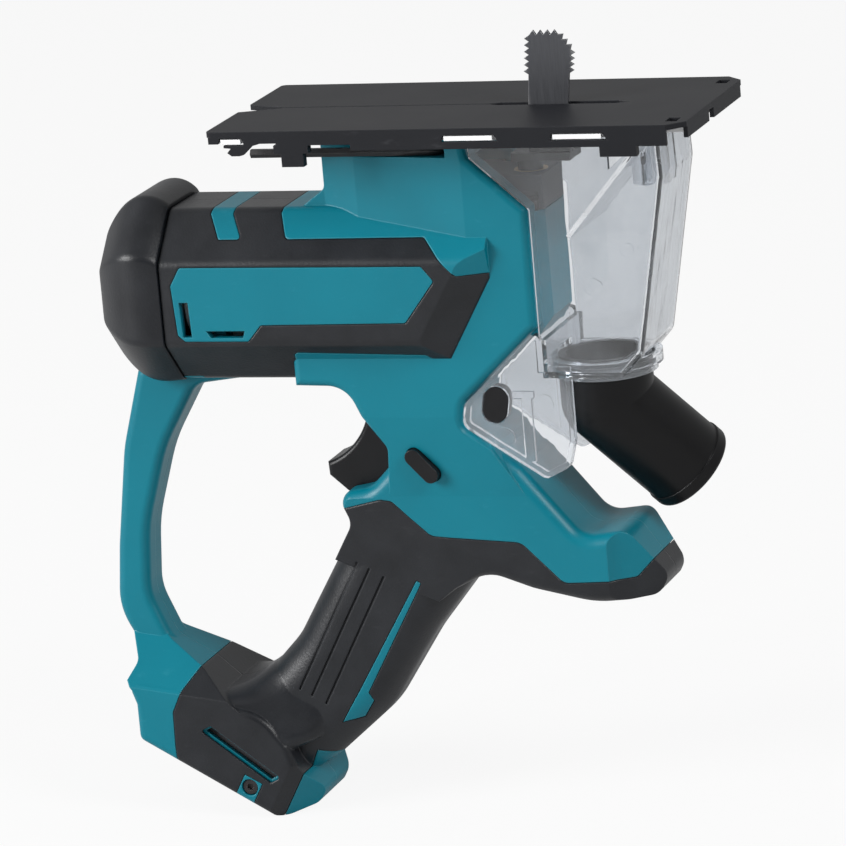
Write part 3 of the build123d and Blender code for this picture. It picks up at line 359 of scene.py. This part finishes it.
# motor iron, wound copper, contact copper, board and leads
laminateLook = {
    "deep": (0.07, 0.07, 0.075, 1), "pale": (0.17, 0.17, 0.18, 1), "metal": 0.9, "rough": 0.5,
    "uneven": 0.2, "sheet": 0.0005, "sheetShare": 0.6, "stain": 0.003, "stainDetail": 4.0,
    "stainShare": 0.4, "bump": 0.4, "depth": 0.0001,
}


def laminateFinish(look):
    material, place = startFinish("stacked iron sheets")
    sheet = place.node("TexWave", {"bands_direction": "X"}, {
        "Vector": place, "Scale": wavePeriod / look["sheet"]})
    stain = noise(place, look["stain"], look["stainDetail"])
    shade = sheet * look["sheetShare"] + stain * look["stainShare"]
    return endFinish(material, place, {
        "Base Color": tint(shade, look["deep"], look["pale"]), "Metallic": look["metal"],
        "Roughness": look["rough"] + swing(stain, look["uneven"]),
        "Normal": relief(sheet, look["bump"], look["depth"])})


dress(laminateFinish(laminateLook), "dark_iron", "armature")

copperLook = {
    "deep": (0.42, 0.14, 0.05, 1), "pale": (0.75, 0.34, 0.16, 1), "metal": 1.0, "rough": 0.35,
    "uneven": 0.15, "strand": 0.0008, "strandBend": 0.6, "strandDetail": 1.0, "strandShare": 0.7,
    "stain": 0.003, "stainDetail": 3.0, "stainShare": 0.3, "bump": 0.5, "depth": 0.0003,
}


def copperFinish(look):
    material, place = startFinish("wound copper")
    strand = place.node("TexWave", {"bands_direction": "DIAGONAL"}, {
        "Vector": place, "Scale": wavePeriod / look["strand"],
        "Distortion": look["strandBend"], "Detail": look["strandDetail"]})
    stain = noise(place, look["stain"], look["stainDetail"])
    shade = strand * look["strandShare"] + stain * look["stainShare"]
    return endFinish(material, place, {
        "Base Color": tint(shade, look["deep"], look["pale"]), "Metallic": look["metal"],
        "Roughness": look["rough"] + swing(stain, look["uneven"]),
        "Normal": relief(strand, look["bump"], look["depth"])})


dress(copperFinish(copperLook), "copper", "windings", "commutator")

boardLook = {
    "mask": (0.008, 0.11, 0.05, 1), "track": (0.03, 0.22, 0.1, 1), "rough": 0.35, "uneven": 0.1,
    "cells": 380.0, "trackFrom": 0.08, "trackTo": 0.14, "stain": 0.003, "bump": 0.3, "depth": 0.00005,
}


def boardFinish(look):
    material, place = startFinish("board lacquer")
    track = place.node("TexVoronoi", {"feature": "DISTANCE_TO_EDGE", "distance": "EUCLIDEAN"}, {
        "Vector": place, "Scale": look["cells"]})
    colour = tint(ease(track, look["trackFrom"], look["trackTo"]), look["track"], look["mask"])
    stain = noise(place, look["stain"])
    return endFinish(material, place, {
        "Base Color": colour, "Roughness": look["rough"] + stain * look["uneven"],
        "Normal": relief(track, look["bump"], look["depth"])})


dress(boardFinish(boardLook), "board_green", "control_board")

leadLook = {
    "red": (0.36, 0.012, 0.012, 1), "black": (0.012, 0.012, 0.013, 1), "grime": (0.08, 0.07, 0.065, 1),
    "rough": 0.48, "uneven": 0.2, "parting": 0.0002, "grain": 0.0004, "bump": 0.2, "depth": 0.00005,
    "smear": 0.002, "smearDetail": 4.0, "smearFrom": 0.55, "smearTo": 0.8, "smeared": 0.35,
}


def leadFinish(look):
    material, place = startFinish("lead insulation")
    # the red lead lies on the camera's side of the middle plane, the black one beyond it
    which = ease(axisOf(place, "Y"), -look["parting"], look["parting"])
    smear = noise(place, look["smear"], look["smearDetail"])
    colour = tint(which, look["red"], look["black"])
    grimy = ease(smear, look["smearFrom"], look["smearTo"]) * look["smeared"]
    return endFinish(material, place, {
        "Base Color": tint(grimy, colour, look["grime"]),
        "Roughness": look["rough"] + swing(smear, look["uneven"]),
        "Normal": relief(noise(place, look["grain"]), look["bump"], look["depth"])})


dress(leadFinish(leadLook), "wire_red", "battery_leads", "motor_leads")
print("motor, board and leads dressed")


# pale studio floor under the foot, which stays white to the camera and keeps a soft shadow
floorLook = {
    "deep": (0.6, 0.6, 0.6, 1), "pale": (0.64, 0.64, 0.64, 1), "fibre": 0.02, "fibreDetail": 3.0,
    "white": 0.9, "mirrored": 0.12, "glow": 1.0, "half": 6.0,
}


def layFloor(look):
    half, low = look["half"], cadLow.z
    corners = [(-half, -half, low), (half, -half, low), (half, half, low), (-half, half, low)]
    mesh = bpy.data.meshes.new("studio_floor")
    mesh.from_pydata(corners, [], [(0, 1, 2, 3)])
    floor = bpy.data.objects.new("studio_floor", mesh)
    bpy.context.scene.collection.objects.link(floor)
    material, place = startFinish("studio paper")
    fibre = noise(place, look["fibre"], look["fibreDetail"])
    paper = place.node("BsdfDiffuse", {}, {"Color": tint(fibre, look["deep"], look["pale"])})
    glow = place.node("Emission", {}, {"Color": plainWhite, "Strength": look["glow"]})
    seen = place.node("LightPath", {}, {}, "Is Camera Ray")
    mirrored = place.node("LightPath", {}, {}, "Is Glossy Ray")
    through = place.node("LightPath", {}, {}, "Is Transmission Ray")
    share = seen.maths("MAXIMUM", seen, through) * look["white"]
    share = seen.maths("MAXIMUM", share, mirrored * look["mirrored"])
    both = place.node("MixShader", {}, {0: share, 1: paper, 2: glow})
    place.node("OutputMaterial", {}, {"Surface": both})
    mesh.materials.append(material)


layFloor(floorLook)

# soft studio light: an even room, a large lamp left of the camera, a smaller one high on the right
roomLook = {
    "lit": 0.34, "front": 0.1, "behind": 0.5, "above": 0.55, "seen": 1.0,
    "frontAt": -0.7, "behindAt": 0.35, "aboveFrom": 0.3, "aboveTo": 0.8,
}


def lightRoom(look):
    world = bpy.data.worlds.new("studio_room")
    bpy.context.scene.world = world
    world.use_nodes = True
    world.node_tree.nodes.clear()
    paths = world.node_tree.nodes.new("ShaderNodeLightPath")
    seen = Flow(world.node_tree, paths.outputs["Is Camera Ray"])
    mirrored = seen.node("LightPath", {}, {}, "Is Glossy Ray")
    through = seen.node("LightPath", {}, {}, "Is Transmission Ray")
    white = seen.maths("MAXIMUM", seen, through)
    # in reflections the room is dim behind the camera and bright overhead
    toward = seen.node("TexCoord", {}, {}, "Generated")
    level = ease(axisOf(toward, "Y"), look["frontAt"], look["behindAt"], look["front"], look["behind"])
    over = ease(axisOf(toward, "Z"), look["aboveFrom"], look["aboveTo"])
    light = look["lit"] + mirrored * (level + over * (look["above"] - level) - look["lit"])
    strength = light + white * (look["seen"] - light)
    room = seen.node("Background", {}, {"Color": plainWhite, "Strength": strength})
    seen.node("OutputWorld", {}, {"Surface": room})


lightRoom(roomLook)

lampLook = {
    "key": {"spot": (-1.7, -1.3, 0.75), "size": 1.1, "watts": 58.0},
    "side": {"spot": (1.5, -0.75, 1.15), "size": 0.8, "watts": 24.0},
}
aim = (cadLow + cadHigh) / 2
for name, lamp in lampLook.items():
    light = bpy.data.lights.new("lamp_" + name, "AREA")
    light.size, light.energy = lamp["size"], lamp["watts"]
    stand = bpy.data.objects.new("lamp_" + name, light)
    stand.location = lamp["spot"]
    stand.rotation_euler = (aim - stand.location).to_track_quat("-Z", "Y").to_euler()
    bpy.context.scene.collection.objects.link(stand)
print("floor and lamps placed")

# camera at the photograph's angle
cameraLook = {
    "right": (0.9446, 0.317, -0.0845), "up": (0.0, 0.2577, 0.9662), "aim": (-0.0606, 0.0, -0.1184),
    "back": 2.2, "lens": 257.4, "slideAcross": 0.00193, "slideUp": 0.00055,
}


def placeCamera(look):
    across = Vector(look["right"]).normalized()
    upward = Vector(look["up"])
    upward = (upward - across * upward.dot(across)).normalized()
    behind = across.cross(upward)
    spot = Vector(look["aim"]) + behind * look["back"]
    spot = spot + across * look["slideAcross"] + upward * look["slideUp"]
    data = bpy.data.cameras.new("photo_camera")
    data.lens = look["lens"]
    camera = bpy.data.objects.new("photo_camera", data)
    turn = Matrix((across, upward, behind)).transposed().to_4x4()
    camera.matrix_world = Matrix.Translation(spot) @ turn
    bpy.context.scene.collection.objects.link(camera)
    bpy.context.scene.camera = camera


placeCamera(cameraLook)
bpy.context.scene.view_settings.view_transform = "Standard"
print("camera placed")
